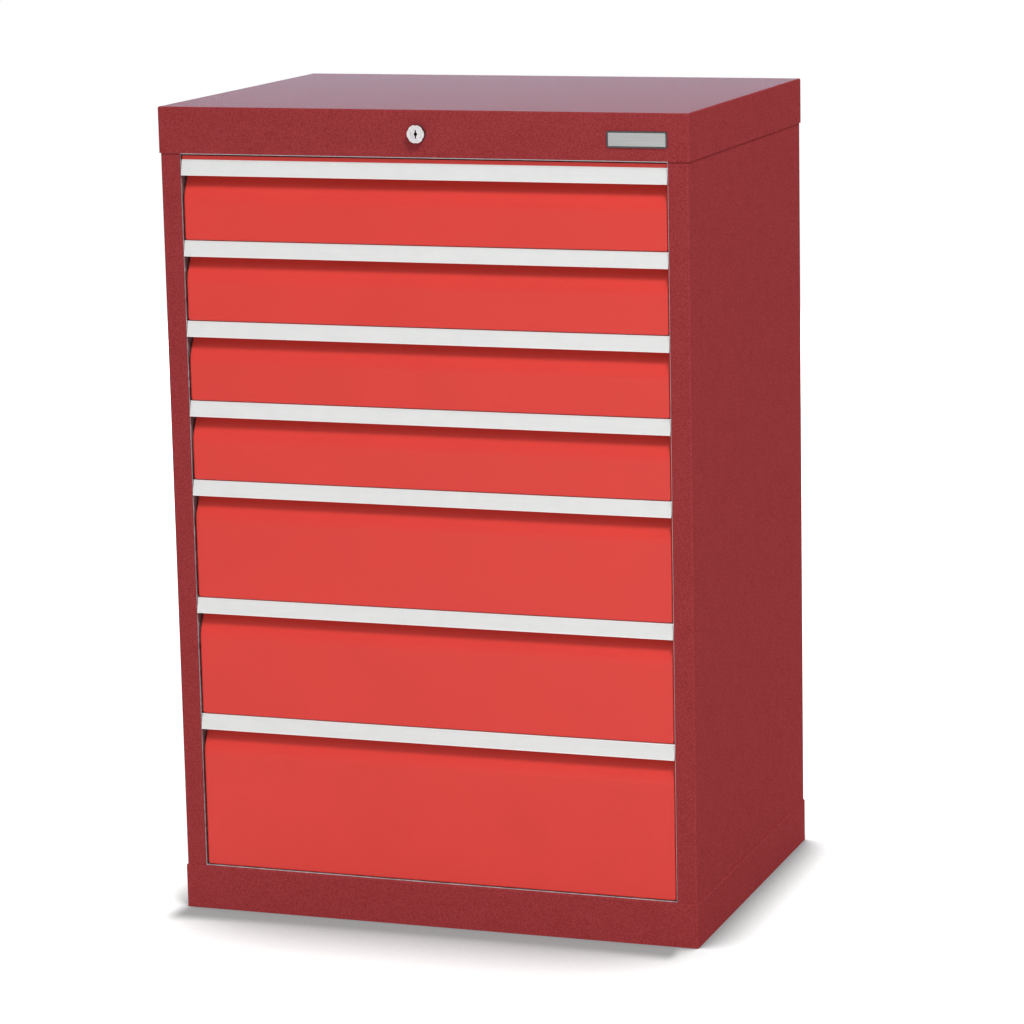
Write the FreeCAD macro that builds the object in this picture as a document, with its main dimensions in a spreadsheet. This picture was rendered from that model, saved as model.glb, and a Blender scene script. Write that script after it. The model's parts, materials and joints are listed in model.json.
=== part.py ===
import FreeCAD, Part
import os
import Sketcher

# A floor-standing steel workshop cabinet: a folded sheet case, seven drawers with full-width
# aluminium grips on full-extension ball slides, and one lock that bolts all the drawers.
# +X points to the right of someone who faces the drawers, -Y points at that person, +Z is up.
# The origin is on the floor, under the middle of the box around the whole cabinet.

# Driving sizes in millimetres, kept in the sheet under these names.
SIZES = {
    # Case
    "case_width": 680.0,
    "case_depth": 500.0,
    "fascia_height": 57.0,
    "plinth_height": 56.0,
    "plinth_flange": 30.0,
    "case_sheet": 1.5,
    "case_bend": 2.0,
    "stile_face": 25.2,
    "back_sheet": 1.0,
    "back_play": 0.5,
    "post_depth": 30.0,
    "rear_post_gap": 28.5,
    "post_sheet": 1.5,
    "post_lip": 0.8,
    "sill_depth": 10.0,
    "sill_sheet": 1.0,
    "header_show": 1.2,
    # Rows of drawers, each pitch measured from one front's top edge to the next
    "small_pitch": 100.0,
    "medium_pitch": 150.0,
    "large_pitch": 197.5,
    "reveal": 0.6,
    "base_gap": 1.6,
    "head_gap": 7.5,
    "side_gap": 1.9,
    # Drawer fronts
    "front_inset": 4.0,
    "front_depth": 18.5,
    "front_sheet": 1.2,
    "front_bend": 1.6,
    "front_side_bend": 3.0,
    "recess_depth": 13.5,
    "recess_run": 25.0,
    "recess_bend": 30.0,
    "frame_side": 20.0,
    "frame_lower": 14.0,
    "frame_upper": 26.0,
    "top_lip": 4.5,
    "top_lip_inset": 5.0,
    # Grips and label strips
    "grip_height": 19.8,
    "grip_setback": 5.2,
    "grip_slant": 4.7,
    "grip_side": 0.6,
    "grip_wall": 2.2,
    "grip_leg": 12.0,
    "grip_edge": 1.6,
    "grip_round": 0.7,
    "label_groove": 0.8,
    "label_sheet": 0.6,
    # Trays
    "tray_sheet": 1.0,
    "tray_end_gap": 11.0,
    "tray_lift": 5.0,
    "tray_drop": 18.0,
    # Slides
    "slide_width": 13.0,
    "slide_lift": 28.0,
    "rail_setback": 2.0,
    "rail_lap": 24.0,
    "rail_height": 46.0,
    "rail_flange": 10.5,
    "rail_sheet": 1.5,
    "mid_setback": 3.0,
    "mid_end_gap": 7.0,
    "mid_flange": 8.5,
    "mid_sheet": 1.2,
    "mid_offset": 2.5,
    "runner_setback": 1.0,
    "runner_end_gap": 4.0,
    "runner_flange": 8.5,
    "ball_size": 4.0,
    "ball_play": 0.1,
    "ball_pitch": 28.0,
    "cage_length": 164.0,
    "cage_width": 5.0,
    "cage_sheet": 1.2,
    "cage_margin": 30.0,
    # Badge
    "badge_length": 75.0,
    "badge_height": 20.0,
    "badge_sheet": 1.2,
    "badge_margin": 26.6,
    "badge_drop": 31.5,
    "badge_round": 3.0,
    # Lock
    "lock_drop": 28.5,
    "lock_reach": 7.0,
    "lock_face": 11.0,
    "lock_scallop": 4.5,
    "lock_scallop_depth": 0.6,
    "lock_barrel": 9.0,
    "lock_barrel_play": 0.2,
    "lock_depth": 25.0,
    "plug_radius": 6.0,
    "plug_play": 0.1,
    "plug_inset": 0.4,
    "key_slot_width": 1.6,
    "key_slot_height": 10.0,
    "key_slot_depth": 12.0,
    "key_hole": 2.2,
    "nut_radius": 13.5,
    "nut_height": 5.0,
    "tail_side": 6.0,
    "cam_sheet": 2.0,
    "cam_arm": 15.0,
    "cam_hub": 8.0,
    "cam_gap": 0.5,
    "pin_radius": 2.5,
    "pin_play": 0.6,
    "link_sheet": 2.0,
    "link_height": 16.0,
    "link_wall": 4.0,
    "link_pin_play": 0.3,
    "bolt_slope": 0.5,
    "bolt_pin_inset": 25.0,
    "bolt_pin_drop": 11.5,
    "bar_gap": 2.5,
    "bar_sheet": 3.0,
    "bar_width": 18.0,
    "bar_wall_gap": 3.0,
    "hook_height": 8.0,
    "hook_stud_gap": 1.0,
    "stud_radius": 3.0,
    "stud_lift": 66.0,
    "stud_reach": 8.5,
    "hook_reach_gap": 3.0,
    "guide_sheet": 1.8,
    "guide_play": 0.4,
    "guide_length": 20.0,
    "link_guide_margin": 60.0,
    # Back screws
    "screw_head": 4.0,
    "screw_head_height": 1.4,
    "screw_shank": 2.0,
    "screw_length": 8.0,
    "screw_hole_play": 0.1,
}

ROWS = ["small", "small", "small", "small", "medium", "medium", "large"]
BACK_SCREW_ROWS = 5
CAGE_BALLS = 6
LOCK_SCALLOPS = 6
ROOT_TWO = 2 ** 0.5
RIGHT, LEFT = 1, -1

doc = FreeCAD.newDocument("drawer_cabinet")
sheet = doc.addObject("Spreadsheet::Sheet", "Sizes")
for line, (alias, number) in enumerate(SIZES.items(), start=1):
    sheet.set("A%d" % line, str(number))
    sheet.setAlias("A%d" % line, alias)
doc.recompute()


class Size:
    """A length that knows its value and the formula that ties it to the sheet."""

    def __init__(self, value, formula):
        self.value = value
        self.formula = formula

    def joined(self, sign, other, value):
        return Size(value, "(%s %s %s)" % (self.formula, sign, other.formula))

    def __add__(self, other):
        other = as_size(other)
        return self.joined("+", other, self.value + other.value)

    def __sub__(self, other):
        other = as_size(other)
        return self.joined("-", other, self.value - other.value)

    def __mul__(self, other):
        other = as_size(other)
        return self.joined("*", other, self.value * other.value)

    def __truediv__(self, other):
        other = as_size(other)
        return self.joined("/", other, self.value / other.value)

    def __neg__(self):
        return as_size(0) - self

    def root(self):
        return Size(self.value ** 0.5, "sqrt(%s)" % self.formula)


def as_size(number):
    return number if isinstance(number, Size) else Size(float(number), "%.9g" % number)


def size(alias):
    return Size(SIZES[alias], "Sizes." + alias)


ZERO = as_size(0)


# Helpers for the parametric pieces

def bind(item, name, length):
    item.setExpression(name, as_size(length).formula)


def place(item, x=ZERO, y=ZERO, z=ZERO):
    for axis, length in zip("xyz", (x, y, z)):
        bind(item, "Placement.Base." + axis, length)
    return item


def new_body(name):
    body = doc.addObject("PartDesign::Body", name)
    body.Label = name
    return body


def new_sketch(body, role, offset=ZERO):
    """A sketch on one of the body's origin planes, moved along that plane's normal."""
    sketch = body.newObject("Sketcher::SketchObject", body.Name + "_sketch")
    plane = [item for item in body.Origin.OriginFeatures if item.Role == role][0]
    sketch.AttachmentSupport = [(plane, "")]
    sketch.MapMode = "FlatFace"
    bind(sketch, "AttachmentOffset.Base.z", offset)
    return sketch


def fix_point(sketch, geometry, corner, point):
    """Ties one point of a sketch's geometry to its distances from the sketch's origin."""
    for kind, length in zip(("DistanceX", "DistanceY"), point):
        length = as_size(length)
        rule = Sketcher.Constraint(kind, -1, 1, geometry, corner, length.value)
        bind(sketch, "Constraints[%d]" % sketch.addConstraint(rule), length)


def vector(point):
    return FreeCAD.Vector(as_size(point[0]).value, as_size(point[1]).value, 0)


def draw_polygon(sketch, points):
    first = sketch.GeometryCount
    count = len(points)
    for index, start in enumerate(points):
        end = points[(index + 1) % count]
        sketch.addGeometry(Part.LineSegment(vector(start), vector(end)), False)
    for index in range(count):
        after = first + (index + 1) % count
        sketch.addConstraint(Sketcher.Constraint("Coincident", first + index, 2, after, 1))
    for index, point in enumerate(points):
        fix_point(sketch, first + index, 1, point)


def draw_rectangle(sketch, low, high):
    draw_polygon(sketch, [low, (high[0], low[1]), high, (low[0], high[1])])


def draw_circle(sketch, centre, radius):
    radius = as_size(radius)
    circle = Part.Circle(vector(centre), FreeCAD.Vector(0, 0, 1), radius.value)
    index = sketch.addGeometry(circle, False)
    fix_point(sketch, index, 3, centre)
    rule = sketch.addConstraint(Sketcher.Constraint("Radius", index, radius.value))
    bind(sketch, "Constraints[%d]" % rule, radius)


def draw_slot(sketch, start, end, radius):
    """A straight slot with round ends about two centres."""
    run, rise = end[0] - start[0], end[1] - start[1]
    length = (run * run + rise * rise).root()
    over, up = rise * radius / length, run * radius / length
    on, off = run * radius / length, rise * radius / length
    corners = [
        (start[0] + over, start[1] - up),
        (end[0] + over, end[1] - up),
        (end[0] - over, end[1] + up),
        (start[0] - over, start[1] + up),
    ]
    tips = [(end[0] + on, end[1] + off), (start[0] - on, start[1] - off)]
    first = sketch.GeometryCount
    for side in (0, 2):
        begin, finish, after = corners[side], corners[side + 1], corners[(side + 2) % 4]
        sketch.addGeometry(Part.LineSegment(vector(begin), vector(finish)), False)
        tip = tips[side // 2]
        sketch.addGeometry(Part.Arc(vector(finish), vector(tip), vector(after)), False)
    for index in range(4):
        after = first + (index + 1) % 4
        sketch.addConstraint(Sketcher.Constraint("Tangent", first + index, 2, after, 1))
    fix_point(sketch, first + 1, 3, end)
    fix_point(sketch, first + 3, 3, start)
    sketch.addConstraint(Sketcher.Constraint("Equal", first + 1, first + 3))
    rule = sketch.addConstraint(Sketcher.Constraint("Radius", first + 1, radius.value))
    bind(sketch, "Constraints[%d]" % rule, radius)


def pad(body, sketch, length, reverse=False, symmetric=False):
    feature = body.newObject("PartDesign::Pad", body.Name + "_pad")
    feature.Profile = sketch
    feature.SideType = "Symmetric" if symmetric else "One side"
    feature.Reversed = reverse
    bind(feature, "Length", length)
    doc.recompute()
    return feature


def pocket(body, sketch, length, reverse=False, symmetric=False):
    """Cuts a sketch out of the body, and stops if nothing was cut away."""
    before = body.Shape.Volume
    feature = body.newObject("PartDesign::Pocket", body.Name + "_pocket")
    feature.Profile = sketch
    feature.SideType = "Symmetric" if symmetric else "One side"
    feature.Reversed = reverse
    bind(feature, "Length", length)
    doc.recompute()
    if body.Shape.Volume >= before - 1e-6:
        raise RuntimeError("%s cut nothing away" % feature.Name)
    return feature


def fillet(body, base, radius, wanted):
    """Rounds the edges of a feature that a test picks by their middle point and direction."""
    names = []
    for index, edge in enumerate(base.Shape.Edges, start=1):
        start, end = edge.valueAt(edge.FirstParameter), edge.valueAt(edge.LastParameter)
        if wanted((start + end) / 2, (end - start)):
            names.append("Edge%d" % index)
    feature = body.newObject("PartDesign::Fillet", body.Name + "_fillet")
    feature.Base = (base, names)
    bind(feature, "Radius", radius)
    doc.recompute()
    return feature


def shell(body, base, thickness, is_open):
    """Hollows a feature to a sheet, and leaves out the face that a test picks by its middle."""
    names = []
    for index, face in enumerate(base.Shape.Faces, start=1):
        if is_open(face.CenterOfMass):
            names.append("Face%d" % index)
    feature = body.newObject("PartDesign::Thickness", body.Name + "_shell")
    feature.Base = (base, names)
    feature.Reversed = True
    bind(feature, "Value", thickness)
    doc.recompute()
    return feature


def near(first, second):
    return abs(first - as_size(second).value) < 0.01


def block(name, low, high):
    """A box between two corners."""
    item = doc.addObject("Part::Box", name)
    for side, start, end in zip(("Length", "Width", "Height"), low, high):
        bind(item, side, as_size(end) - start)
    return place(item, *low)


def cylinder(name, radius, length, base, axis):
    """A cylinder from a base point along +X or +Y."""
    item = doc.addObject("Part::Cylinder", name)
    turn = {"X": (FreeCAD.Vector(0, 1, 0), 90), "Y": (FreeCAD.Vector(1, 0, 0), -90)}[axis]
    item.Placement = FreeCAD.Placement(FreeCAD.Vector(), FreeCAD.Rotation(*turn))
    bind(item, "Radius", radius)
    bind(item, "Height", length)
    return place(item, *base)


def fused(name, items):
    item = doc.addObject("Part::MultiFuse", name)
    item.Shapes = items
    return item


def cut(name, base, tool):
    item = doc.addObject("Part::Cut", name)
    item.Base = base
    item.Tool = tool
    return item


def within(name, base, low, high):
    """The part of a piece that lies between two corners."""
    item = doc.addObject("Part::Common", name)
    item.Base = base
    item.Tool = block(name + "_span", low, high)
    return item


def group(name, items):
    """Several separate solids kept as one sub-part."""
    item = doc.addObject("Part::Compound", name)
    item.Links = items
    return item


nodes = []


def keep(name, item):
    """Names a finished sub-part, which is written to a file of that name."""
    item.Label = name
    nodes.append(item)
    return item


# Planes and levels that the pieces share

half_width = size("case_width") / 2
front_plane = size("lock_reach") / 2 - size("case_depth") / 2
back_plane = front_plane + size("case_depth")
side_outer = half_width - size("case_sheet")
side_inner = side_outer - size("case_sheet")
opening_half = side_outer - size("stile_face")
stile_front = front_plane + size("case_sheet")
stile_back = stile_front + size("case_sheet")
rear_flange_back = back_plane - size("case_sheet")

pitches = [size(row + "_pitch") for row in ROWS]
row_base = [size("plinth_height") + size("base_gap") - size("reveal")]
for pitch in reversed(pitches[1:]):
    row_base.insert(0, row_base[0] + pitch)
fascia_bottom = row_base[0] + pitches[0] + size("head_gap")
case_top = fascia_bottom + size("fascia_height")
under_cover = case_top - size("case_sheet")

front_half = opening_half - size("side_gap")
grip_half = front_half + size("grip_side")
front_face = front_plane + size("front_inset")
front_rear = front_face + size("front_depth")
recess_face = front_face + size("recess_depth")
tray_half = opening_half - size("slide_width")
tray_floor = size("reveal") + size("tray_lift")
slide_level = tray_floor + size("slide_lift")

header_bottom = fascia_bottom - size("header_show")
lip_half = opening_half - size("post_lip")
post_back = stile_back + size("post_depth")
back_front = rear_flange_back - size("case_sheet") - size("back_sheet")
rear_post_front = back_front - size("rear_post_gap") - size("post_depth")

rail_front = front_rear + size("rail_setback")
rail_back = rear_post_front + size("rail_lap")
mid_front = rail_front + size("mid_setback")
mid_back = rail_back - size("mid_end_gap")
runner_front = front_rear + size("runner_setback")
runner_back = mid_back - size("runner_end_gap")
tray_back = runner_back - size("tray_end_gap")


# Case

panel_height = case_top - size("case_bend") - size("plinth_height")
back_half = side_inner - size("back_play")
screw_x = opening_half + size("stile_face") / 2
screw_pitch = (fascia_bottom - size("plinth_height")) / BACK_SCREW_ROWS
screw_levels = [screw_pitch * (index + 0.5) for index in range(BACK_SCREW_ROWS)]


def drill_for_screws(body, sides):
    """Screw holes through the rear flange and whatever lies in front of it."""
    holes = new_sketch(body, "XZ_Plane", offset=-rear_flange_back)
    for side in sides:
        for level in screw_levels:
            draw_circle(holes, (screw_x * side, level),
                        size("screw_shank") + size("screw_hole_play"))
    pocket(body, holes, size("screw_length"), reverse=True)


def side_panel(name, side):
    """A side wall folded inwards to a stile in front and a flange behind."""
    body = new_body(name)
    sketch = new_sketch(body, "XY_Plane")
    draw_polygon(sketch, [
        (opening_half * side, stile_front),
        (side_outer * side, stile_front),
        (side_outer * side, rear_flange_back),
        (opening_half * side, rear_flange_back),
        (opening_half * side, rear_flange_back - size("case_sheet")),
        (side_inner * side, rear_flange_back - size("case_sheet")),
        (side_inner * side, stile_back),
        (opening_half * side, stile_back),
    ])
    walls = pad(body, sketch, panel_height)
    fillet(body, walls, size("case_bend"),
           lambda middle, along: near(abs(middle.x), side_outer) and abs(along.z) > 1)
    drill_for_screws(body, (side,))
    place(body, z=size("plinth_height"))
    return body


def case_shell(body, height):
    """A shallow folded box as wide and deep as the case, open below."""
    sketch = new_sketch(body, "XY_Plane")
    draw_rectangle(sketch, (-half_width, front_plane), (half_width, back_plane))
    solid = pad(body, sketch, height)
    rounded = fillet(body, solid, size("case_bend"),
                     lambda middle, along: not near(middle.z, ZERO))
    return shell(body, rounded, size("case_sheet"), lambda middle: near(middle.z, ZERO))


def top_cover():
    """The folded cover, parted at its bends into a sheet and four skirts."""
    body = new_body("folded_cover")
    case_shell(body, size("fascia_height"))
    hole = new_sketch(body, "XZ_Plane", offset=-front_plane)
    draw_circle(hole, (ZERO, size("fascia_height") - size("lock_drop")),
                size("lock_barrel") + size("lock_barrel_play"))
    pocket(body, hole, size("case_sheet") * 2)
    place(body, z=fascia_bottom)
    spans = {
        "cover_sheet": ((-half_width, front_plane, under_cover),
                        (half_width, back_plane, case_top)),
        "cover_front": ((-half_width, front_plane, fascia_bottom),
                        (half_width, stile_front, under_cover)),
        "cover_back": ((-half_width, rear_flange_back, fascia_bottom),
                       (half_width, back_plane, under_cover)),
        "cover_left": ((-half_width, stile_front, fascia_bottom),
                       (-side_outer, rear_flange_back, under_cover)),
        "cover_right": ((side_outer, stile_front, fascia_bottom),
                        (half_width, rear_flange_back, under_cover)),
    }
    return group("top_cover", [within(name, body, *span) for name, span in spans.items()])


def base_plinth():
    """The base: skirts, a floor that closes the case, and flanges that stand on the ground."""
    body = new_body("base_plinth")
    case_shell(body, size("plinth_height"))
    flange = new_sketch(body, "XY_Plane")
    edge = size("case_sheet") / 2
    inner = size("case_sheet") + size("plinth_flange")
    draw_rectangle(flange, (edge - half_width, front_plane + edge),
                   (half_width - edge, back_plane - edge))
    draw_rectangle(flange, (inner - half_width, front_plane + inner),
                   (half_width - inner, back_plane - inner))
    pad(body, flange, size("case_sheet"))
    place(body)
    return body


def corner_post(name, side, front, has_lip):
    """A channel in a corner of the case, open towards the side wall. A lip on a front post
    shows beside the drawer fronts."""
    body = new_body(name)
    back = front + size("post_depth")
    web = opening_half + size("post_sheet")
    inner_edge = [(opening_half * side, front)]
    if has_lip:
        inner_edge = [
            (lip_half * side, front),
            (lip_half * side, front + size("post_sheet")),
            (opening_half * side, front + size("post_sheet")),
        ]
    sketch = new_sketch(body, "XY_Plane")
    draw_polygon(sketch, [
        (side_inner * side, front),
        *inner_edge,
        (opening_half * side, back),
        (side_inner * side, back),
        (side_inner * side, back - size("post_sheet")),
        (web * side, back - size("post_sheet")),
        (web * side, front + size("post_sheet")),
        (side_inner * side, front + size("post_sheet")),
    ])
    pad(body, sketch, header_bottom - size("plinth_height"))
    place(body, z=size("plinth_height"))
    return body


def corner_posts():
    """The four posts, and a sill between the front ones that shows under the lowest front."""
    posts = [corner_post("corner_post", side, front, front is stile_back)
             for side in (LEFT, RIGHT)
             for front in (stile_back, rear_post_front)]
    sill = block("sill", (-lip_half, stile_back, size("plinth_height")),
                 (lip_half, stile_back + size("sill_depth"),
                  size("plinth_height") + size("sill_sheet")))
    return group("corner_posts", posts + [sill])


def front_header():
    """The channel behind the fascia, which rests on the front posts and carries the lock."""
    body = new_body("front_header")
    sketch = new_sketch(body, "YZ_Plane")
    thickness = size("post_sheet")
    height = under_cover - header_bottom
    draw_polygon(sketch, [
        (stile_back, ZERO),
        (post_back, ZERO),
        (post_back, thickness),
        (stile_back + thickness, thickness),
        (stile_back + thickness, height - thickness),
        (post_back, height - thickness),
        (post_back, height),
        (stile_back, height),
    ])
    pad(body, sketch, side_inner * 2, symmetric=True)
    hole = new_sketch(body, "XZ_Plane", offset=-stile_back)
    draw_circle(hole, (ZERO, case_top - size("lock_drop") - header_bottom),
                size("lock_barrel") + size("lock_barrel_play"))
    pocket(body, hole, thickness * 2)
    place(body, z=header_bottom)
    return body


def back_panel():
    """A flat sheet screwed to the inner face of both rear flanges."""
    body = new_body("back_panel")
    sketch = new_sketch(body, "XZ_Plane", offset=size("case_sheet") - rear_flange_back)
    draw_rectangle(sketch, (-back_half, ZERO), (back_half, panel_height))
    pad(body, sketch, size("back_sheet"))
    drill_for_screws(body, (LEFT, RIGHT))
    place(body, z=size("plinth_height"))
    return body


def back_screws():
    """Low-headed screws through the rear flanges into the back panel."""
    screws = []
    shank_front = rear_flange_back - size("screw_length")
    for side in (LEFT, RIGHT):
        for level in screw_levels:
            x, z = screw_x * side, size("plinth_height") + level
            shank = cylinder("screw_shank", size("screw_shank"), size("screw_length"),
                             (x, shank_front, z), "Y")
            head = cylinder("screw_head", size("screw_head"), size("screw_head_height"),
                            (x, rear_flange_back, z), "Y")
            screws.append(fused("screw", [shank, head]))
    return group("back_screws", screws)


def badge_plate():
    """A bare plate at the right end of the fascia."""
    body = new_body("badge_plate")
    sketch = new_sketch(body, "XZ_Plane", offset=-front_plane)
    right = half_width - size("badge_margin")
    low = -(size("badge_height") / 2)
    draw_rectangle(sketch, (right - size("badge_length"), low), (right, -low))
    plate = pad(body, sketch, size("badge_sheet"))
    fillet(body, plate, size("badge_round"), lambda middle, along: abs(along.y) > 0.1)
    place(body, z=case_top - size("badge_drop"))
    return body


# Slides: a rail on the case, a mid member that travels half as far, and a runner on the tray

rail_half = size("rail_height") / 2
mid_half = rail_half - size("rail_sheet") - size("ball_size") - size("ball_play") * 2
runner_half = mid_half - size("mid_sheet") - size("ball_size") - size("ball_play") * 2
rail_tip = size("slide_width") - size("rail_flange")
mid_web = size("slide_width") - size("mid_offset")
mid_tip = mid_web - size("mid_flange")


def channel(name, side, web, web_inside, tip, half_height, thickness, front, length):
    """A slide member of C section; its web and flange tips are measured out from the tray."""
    body = new_body(name)
    sketch = new_sketch(body, "XZ_Plane", offset=-front)
    web, web_inside, tip = [(tray_half + reach) * side for reach in (web, web_inside, tip)]
    inner_half = half_height - thickness
    draw_polygon(sketch, [
        (web, -half_height),
        (tip, -half_height),
        (tip, -inner_half),
        (web_inside, -inner_half),
        (web_inside, inner_half),
        (tip, inner_half),
        (tip, half_height),
        (web, half_height),
    ])
    pad(body, sketch, length, reverse=True)
    return body


def cabinet_rails():
    rails = []
    for number, base in enumerate(row_base, start=1):
        for side in (LEFT, RIGHT):
            rail = channel("rail_%d" % number, side, size("slide_width"),
                           size("slide_width") - size("rail_sheet"), rail_tip, rail_half,
                           size("rail_sheet"), rail_front, rail_back - rail_front)
            rails.append(place(rail, z=base + slide_level))
    return group("cabinet_rails", rails)


def ball_cage(side, reach, level, front):
    """A strip that keeps one row of balls in line; it is one solid with its balls."""
    centre = (tray_half + reach) * side
    half = size("cage_width") / 2
    strip = block("cage_strip", (centre - half, front, level - size("cage_sheet") / 2),
                  (centre + half, front + size("cage_length"), level + size("cage_sheet") / 2))
    row_length = size("ball_pitch") * (CAGE_BALLS - 1)
    first = front + (size("cage_length") - row_length) / 2
    items = [strip]
    for index in range(CAGE_BALLS):
        ball = doc.addObject("Part::Sphere", "ball")
        bind(ball, "Radius", size("ball_size") / 2)
        items.append(place(ball, centre, first + size("ball_pitch") * index, level))
    return fused("ball_cage", items)


def mid_rail_set():
    """Both mid members of one drawer with their ball cages, about the slide's own level."""
    rear_cage = mid_back - size("cage_length") - size("cage_margin")
    front_cage = mid_front + size("cage_margin")
    ball_half = size("ball_size") / 2 + size("ball_play")
    items = []
    for side in (LEFT, RIGHT):
        items.append(channel("mid_member", side, mid_web, mid_web - size("mid_sheet"), mid_tip,
                             mid_half, size("mid_sheet"), mid_front, mid_back - mid_front))
        for sign in (-1, 1):
            items.append(ball_cage(side, (rail_tip + mid_web) / 2,
                                   (mid_half + ball_half) * sign, rear_cage))
            items.append(ball_cage(side, (mid_tip + size("runner_flange")) / 2,
                                   (runner_half + ball_half) * sign, front_cage))
    return group("mid_rail_set", items)


def runner_set():
    """Both runners of one tray, with the stud that the lock bar's hook catches."""
    items = [channel("runner", side, ZERO, size("rail_sheet"), size("runner_flange"),
                     runner_half, size("rail_sheet"), runner_front, runner_back - runner_front)
             for side in (LEFT, RIGHT)]
    stud_y = bar_back + size("hook_stud_gap") + size("stud_radius")
    stud_z = size("stud_lift") - size("slide_lift")
    items.append(cylinder("stud", size("stud_radius"), size("stud_reach"),
                          (tray_half, stud_y, stud_z), "X"))
    return group("runner_set", items)


def copy_at(name, pattern, level):
    """The same solids as a pattern, at a level of their own."""
    return place(group(name, [pattern]), z=level)


# Drawers, each drawn above its own row line

def drawer_front(name, pitch, has_lip):
    """A folded front with a finger recess along its top, closed behind but for a window, and
    parted where the recess turns upright. The uppermost front has a lip over its grip."""
    body = new_body("folded_front")
    thickness = size("front_sheet")
    bottom = size("reveal")
    depth, run = size("recess_depth"), size("recess_run")
    recess_foot = pitch - size("grip_height")
    face_top = recess_foot - run
    inset = thickness * ((depth * depth + run * run).root() - run) / depth

    outer_top = [(recess_face, pitch), (front_rear, pitch)]
    inner_top = [(recess_face + thickness, pitch - thickness),
                 (front_rear - thickness, pitch - thickness)]
    if has_lip:
        lip_front = front_plane + size("top_lip_inset")
        lip_top = pitch + size("top_lip")
        outer_top = [(recess_face, pitch), (lip_front, pitch), (lip_front, lip_top),
                     (front_rear, lip_top)]
        inner_top = [(recess_face + thickness, pitch + thickness),
                     (lip_front + thickness, pitch + thickness),
                     (lip_front + thickness, lip_top - thickness),
                     (front_rear - thickness, lip_top - thickness)]

    outline = new_sketch(body, "YZ_Plane")
    draw_polygon(outline, [
        (front_rear, bottom),
        (front_face, bottom),
        (front_face, face_top),
        (recess_face, recess_foot),
        *outer_top,
    ])
    pad(body, outline, front_half * 2, symmetric=True)
    hollow = new_sketch(body, "YZ_Plane")
    draw_polygon(hollow, [
        (front_rear - thickness, bottom + thickness),
        (front_face + thickness, bottom + thickness),
        (front_face + thickness, face_top - inset),
        (recess_face + thickness, recess_foot - inset),
        *inner_top,
    ])
    pocket(body, hollow, (front_half - thickness) * 2, symmetric=True)
    window = new_sketch(body, "XZ_Plane", offset=-front_rear)
    draw_rectangle(window, (size("frame_side") - front_half, bottom + size("frame_lower")),
                   (front_half - size("frame_side"), pitch - size("frame_upper")))
    folded = pocket(body, window, thickness, reverse=True)
    bend_lines = [(front_face, face_top), (recess_face, recess_foot),
                  (front_face + thickness, face_top - inset),
                  (recess_face + thickness, recess_foot - inset)]
    bends = fillet(body, folded, size("recess_bend"),
                   lambda middle, along: abs(along.x) > 1
                   and any(near(middle.y, y) and near(middle.z, z) for y, z in bend_lines))
    foot = fillet(body, bends, size("front_bend"),
                  lambda middle, along: near(middle.y, front_face) and near(middle.z, bottom))
    sides = fillet(body, foot, size("front_side_bend"),
                   lambda middle, along: near(abs(middle.x), front_half)
                   and middle.y < recess_face.value + 0.01
                   and middle.z < pitch.value - 0.01)
    fillet(body, sides, size("front_side_bend") - thickness,
           lambda middle, along: near(abs(middle.x), front_half - thickness)
           and middle.y < recess_face.value + thickness.value + 0.01
           and middle.z < pitch.value - 0.01)
    above = pitch + size("top_lip")
    return group(name, [
        within("front_face", body, (-front_half, front_plane, ZERO),
               (front_half, front_rear, recess_foot)),
        within("front_recess", body, (-front_half, front_plane, recess_foot),
               (front_half, front_rear, above)),
    ])


def grip_line(below):
    """Where the grip's sloping face lies at a distance below its top."""
    slope = size("grip_slant") / size("grip_height")
    return front_plane + size("grip_setback") - slope * below


def drawer_handle(name, top):
    """An aluminium grip: a sloping face with a label groove, a top, and a leg on the recess.
    It is parted at its corners."""
    body = new_body("grip")
    height = size("grip_height")
    wall = size("grip_wall")
    edge = size("grip_edge")
    groove = size("label_groove")
    section = new_sketch(body, "YZ_Plane")
    draw_polygon(section, [
        (grip_line(ZERO), top),
        (grip_line(edge), top - edge),
        (grip_line(edge) + groove, top - edge),
        (grip_line(height - edge) + groove, top - height + edge),
        (grip_line(height - edge), top - height + edge),
        (grip_line(height), top - height),
        (grip_line(height) + wall, top - height),
        (grip_line(wall) + wall, top - wall),
        (recess_face - wall, top - wall),
        (recess_face - wall, top - size("grip_leg")),
        (recess_face, top - size("grip_leg")),
        (recess_face, top),
    ])
    solid = pad(body, section, grip_half * 2, symmetric=True)
    corners = [(grip_line(ZERO), top), (grip_line(height), top - height)]
    fillet(body, solid, size("grip_round"),
           lambda middle, along: abs(along.x) > 1
           and any(near(middle.y, y) and near(middle.z, z) for y, z in corners))
    behind = grip_line(wall) + wall
    under = top - wall
    return group(name, [
        within("grip_face", body, (-grip_half, grip_line(height), top - height),
               (grip_half, behind, top)),
        within("grip_top", body, (-grip_half, behind, under), (grip_half, recess_face, top)),
        within("grip_leg", body, (-grip_half, behind, top - size("grip_leg")),
               (grip_half, recess_face, under)),
    ])


def drawer_label_strip(name, top):
    """The strip that slides into the groove of the grip."""
    body = new_body(name)
    edge = size("grip_edge")
    low = size("grip_height") - edge
    back = size("label_groove")
    front = back - size("label_sheet")
    section = new_sketch(body, "YZ_Plane")
    draw_polygon(section, [
        (grip_line(edge) + front, top - edge),
        (grip_line(edge) + back, top - edge),
        (grip_line(low) + back, top - low),
        (grip_line(low) + front, top - low),
    ])
    pad(body, section, grip_half * 2, symmetric=True)
    return body


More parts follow.
